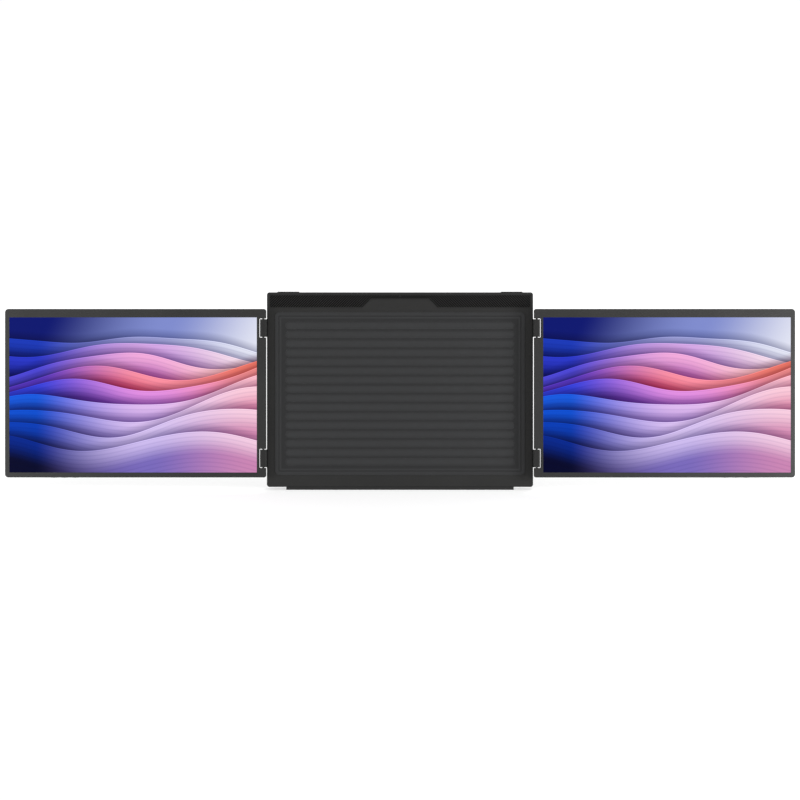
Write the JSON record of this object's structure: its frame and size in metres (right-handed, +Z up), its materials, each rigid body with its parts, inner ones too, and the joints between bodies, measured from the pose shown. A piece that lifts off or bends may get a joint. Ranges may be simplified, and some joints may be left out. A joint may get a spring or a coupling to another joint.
{
  "type": "laptop screen extender",
  "caption": "Flat body for a laptop's lid with a slotted band above it, a display hinged to each side that folds over the front, and a rear kickstand.",
  "frame": {"origin": "centre of the flat underside of the rubber strip that the body stands on", "axes": "+X to the viewer's right along the screens, +Z up, +Y away from the viewer; the panel leans back 12 degrees"},
  "size_m": [1.042, 0.0833, 0.2557],
  "materials": {
    "body_shell": "fine textured matte dark grey",
    "grille": "matte near-black, slotted",
    "mesh": "matte black mesh",
    "soft_rubber": "matte black rubber",
    "pad_liner": "soft-touch silicone",
    "magnet": "nickel plated",
    "sheet_metal": "mill finish",
    "board": "solder mask",
    "heat_sink": "black anodised",
    "screw_steel": "blackened steel",
    "connector_steel": "satin nickel",
    "light_pipe": "frosted clear",
    "hinge_metal": "matte dark grey over cast metal",
    "pin_steel": "dark burnished steel",
    "ribbon": "amber film",
    "bezel": "matte dark grey",
    "screen_shell": "dark grey anodised, fine blasted",
    "display": "lit picture under satin glass",
    "backlight": "white light guide",
    "button": "satin",
    "leaf": "dark grey anodised",
    "speaker": "matte black"
  },
  "bodies": {
    "body": {"front_cover": "body_shell", "rear_cover": "body_shell", "vent_grille": "grille", "grille_mesh": "mesh", "speakers": "speaker", "top_feet": "soft_rubber", "desk_foot": "soft_rubber", "lid_pad": "pad_liner", "lid_magnets": "magnet", "chassis_plate": "sheet_metal", "main_board": "board", "cooling_plate": "heat_sink", "board_screws": "screw_steel", "usb_c_sockets": "connector_steel", "mini_hdmi_socket": "connector_steel", "status_light": "light_pipe", "left_hinge_arms": "hinge_metal", "right_hinge_arms": "hinge_metal", "hinge_arm_screws": "screw_steel", "cover_screws": "screw_steel", "flat_cables": "ribbon", "stand_brackets": "pin_steel", "stand_pins": "pin_steel"},
    "stand": {"stand_leaf": "leaf", "stand_foot": "soft_rubber"},
    "left_screen": {"left_bezel": "bezel", "left_screen_cover": "screen_shell", "left_lcd_panel": "display", "left_backlight": "backlight", "left_driver_board": "board", "left_key_board": "board", "left_hinge_pins": "pin_steel", "left_hinge_brackets": "connector_steel", "left_screen_screws": "screw_steel"},
    "left_power": {"left_power_button": "button"},
    "left_plus": {"left_plus_button": "button"},
    "left_minus": {"left_minus_button": "button"},
    "right_screen": {"right_bezel": "bezel", "right_screen_cover": "screen_shell", "right_lcd_panel": "display", "right_backlight": "backlight", "right_driver_board": "board", "right_key_board": "board", "right_hinge_pins": "pin_steel", "right_hinge_brackets": "connector_steel", "right_screen_screws": "screw_steel"},
    "right_power": {"right_power_button": "button"},
    "right_plus": {"right_plus_button": "button"},
    "right_minus": {"right_minus_button": "button"}
  },
  "joints": [
    {"name": "left_screen_fold", "type": "hinge", "parent": "body", "child": "left_screen", "pos_m": [-0.1803, 0.01705, 0.1259], "axis": [0, 0.2079, 0.9781], "range_deg": [0, 180]},
    {"name": "right_screen_fold", "type": "hinge", "parent": "body", "child": "right_screen", "pos_m": [0.1803, 0.00991, 0.12742], "axis": [0, -0.2079, -0.9781], "range_deg": [0, 180]},
    {"name": "stand_swing", "type": "hinge", "parent": "body", "child": "stand", "pos_m": [0, 0.037, 0.1486], "axis": [1, 0, 0], "range_deg": [-18, 52]},
    {"name": "left_power_press", "type": "slide", "parent": "left_screen", "child": "left_power", "axis": [0, 0.2079, 0.9781], "range_m": [0, 0.0004], "stiffness_N_per_m": 3000},
    {"name": "left_plus_press", "type": "slide", "parent": "left_screen", "child": "left_plus", "axis": [0, 0.2079, 0.9781], "range_m": [0, 0.0004], "stiffness_N_per_m": 3000},
    {"name": "left_minus_press", "type": "slide", "parent": "left_screen", "child": "left_minus", "axis": [0, 0.2079, 0.9781], "range_m": [0, 0.0004], "stiffness_N_per_m": 3000},
    {"name": "right_power_press", "type": "slide", "parent": "right_screen", "child": "right_power", "axis": [0, 0.2079, 0.9781], "range_m": [0, 0.0004], "stiffness_N_per_m": 3000},
    {"name": "right_plus_press", "type": "slide", "parent": "right_screen", "child": "right_plus", "axis": [0, 0.2079, 0.9781], "range_m": [0, 0.0004], "stiffness_N_per_m": 3000},
    {"name": "right_minus_press", "type": "slide", "parent": "right_screen", "child": "right_minus", "axis": [0, 0.2079, 0.9781], "range_m": [0, 0.0004], "stiffness_N_per_m": 3000}
  ]
}
